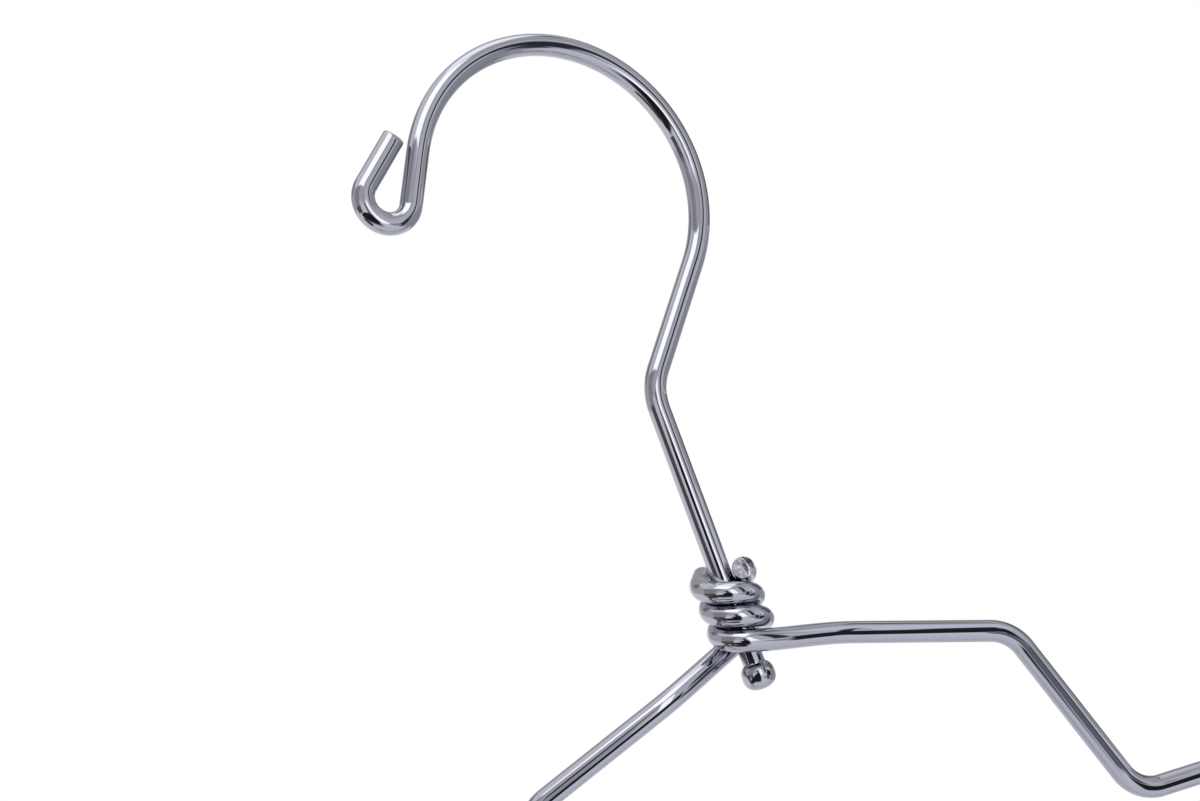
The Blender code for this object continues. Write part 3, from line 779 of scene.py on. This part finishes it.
# Corner, long side, short side, colour, strength, soft edge; the strips stand close by the wires
panels = {
    "soft_box_over": (
        (-225, -200, 366), (267, -135, -200), (219.63, 104.4, 222.74), "#FFFFFF", 2.15, (40, 20)),
    "soft_box_by_lens": ((2, -190, -125), (63, 17, 0), (0, 0, 160), "#FFFFFF", 2.0, (8, 22)),
    "soft_light_above": ((-40, -220, 560), (460, 0, -60), (0, 420, 0), "#FFFFFF", 1.7, (80, 80)),
    "dark_table_edge": (
        (-1000, -1300, -245), (1000, 0, 0), (0, 1170, 0), "#E8EEFF", 0.03, (50, 120)),
    "strip_by_right_arm": (
        (13, -12, -108.5), (37, 0, -7.5), (0, 0, 10), "#E8EEFF", 0.03, (2, 1.5)),
    "pale_strip_over_right_arm": (
        (24, -12, -101.5), (56, 0, -5), (0, 0, 30), "#F4F4FF", 1.1, (2, 1)),
    "strip_by_right_slope": (
        (38.2, -12, -113), (8.8, 0, -30), (12, 0, 2), "#E8EEFF", 0.25, (2, 0.8)),
    "strip_by_right_shoulder": (
        (52, -12, -152), (22, 0, 0), (0, 0, 11), "#E8EEFF", 0.03, (2, 1.5)),
    "strip_by_left_arm": (
        (-44, -12, -121.5), (41, 0, 13.9), (0, 0, 7.8), "#E8EEFF", 0.03, (2, 0.9)),
    "pale_strip_over_left_arm": (
        (-50, -12, -115.7), (31, 0, 10.5), (0, 0, 6.5), "#F4F4FF", 0.6, (4, 0.9)),
    "dim_table_right": (
        (120, -700, -247), (1880, 0, 0), (0, 2200, 0), "#F4F6FF", 0.5, (80, 200))}

# Azimuth, elevation, and in metres distance, width and height, then power in watts
lamps = {
    "lamp_over": (14, 58, 0.75, 0.85, 0.42, 4.4),
    "lamp_by_lens": (10, 0, 0.6, 0.2, 0.2, 0.35)}

for name, values in (walls | darkCards).items():
    card(name, *values)
for name, (corner, along, up, colour, strength, soft) in panels.items():
    sides = [Vector(side) * mm for side in (corner, along, up)]
    panel(name, *sides, colour, strength, [fade * mm for fade in soft])
for name, values in lamps.items():
    lamp(name, *values)

roomLook = {
    "board": "#F1F1F4", "boardRoughness": 0.8, "boardLevel": -250.0, "boardReach": 10000.0,
    "shadowEnd": 260.0, "whiteStart": 420.0,     # the board takes the shadow only round the hanger
    "light": "#F4F4FA", "lightStrength": 0.64}


def backdropRays(tree):  # 1 for what shows the backdrop: the camera, mirrors and glass
    path = addNode(tree, "ShaderNodeLightPath")
    seen = addNode(tree, "ShaderNodeMath", {
        0: path.outputs["Is Camera Ray"], 1: path.outputs["Is Glossy Ray"]}, operation="ADD")
    seen = addNode(tree, "ShaderNodeMath", {
        0: seen.outputs[0], 1: path.outputs["Is Transmission Ray"]},
        operation="ADD", use_clamp=True)
    return seen.outputs[0]


# Matt white board, which takes the shadow by the hanger and is plain white further out
def paleFloor():
    look = roomLook
    material, tree = newMaterial("matt_white_board")
    place = addNode(tree, "ShaderNodeTexCoord")
    away = addNode(tree, "ShaderNodeVectorMath", {0: place.outputs["Object"]}, operation="LENGTH")
    fade = addNode(tree, "ShaderNodeMapRange", {
        "Value": away.outputs["Value"], "From Min": look["shadowEnd"] * mm,
        "From Max": look["whiteStart"] * mm, "To Min": 0.0, "To Max": 1.0},
        interpolation_type="SMOOTHSTEP")
    share = addNode(tree, "ShaderNodeMath", {
        0: backdropRays(tree), 1: fade.outputs["Result"]}, operation="MULTIPLY")
    matt = addNode(tree, "ShaderNodeBsdfPrincipled", {
        "Base Color": look["board"], "Roughness": look["boardRoughness"]})
    white = addNode(tree, "ShaderNodeEmission", {"Color": "#FFFFFF", "Strength": 1.0})
    mixed = addNode(tree, "ShaderNodeMixShader", {
        "Fac": share.outputs[0], 1: matt.outputs["BSDF"], 2: white.outputs["Emission"]})
    addNode(tree, "ShaderNodeOutputMaterial", {"Surface": mixed.outputs["Shader"]})
    form = bmesh.new()
    bmesh.ops.create_grid(form, x_segments=1, y_segments=1, size=look["boardReach"] * mm)
    bmesh.ops.translate(form, vec=(0, 0, look["boardLevel"] * mm), verts=form.verts)
    floor = addPiece("floor", form, material, smooth=False)


# Even light all round, and plain white where it shows as the backdrop
def whiteRoom():
    world = bpy.data.worlds.new("white_room")
    bpy.context.scene.world = world
    world.use_nodes = True
    tree = world.node_tree
    tree.nodes.clear()
    light = addNode(tree, "ShaderNodeBackground", {
        "Color": roomLook["light"], "Strength": roomLook["lightStrength"]})
    white = addNode(tree, "ShaderNodeBackground", {"Color": "#FFFFFF", "Strength": 1.0})
    mixed = addNode(tree, "ShaderNodeMixShader", {
        "Fac": backdropRays(tree), 1: light.outputs["Background"], 2: white.outputs["Background"]})
    addNode(tree, "ShaderNodeOutputWorld", {"Surface": mixed.outputs["Shader"]})


paleFloor()
whiteRoom()
bpy.context.scene.view_settings.view_transform = "Standard"
print("studio ready")

bpy.context.view_layer.update()
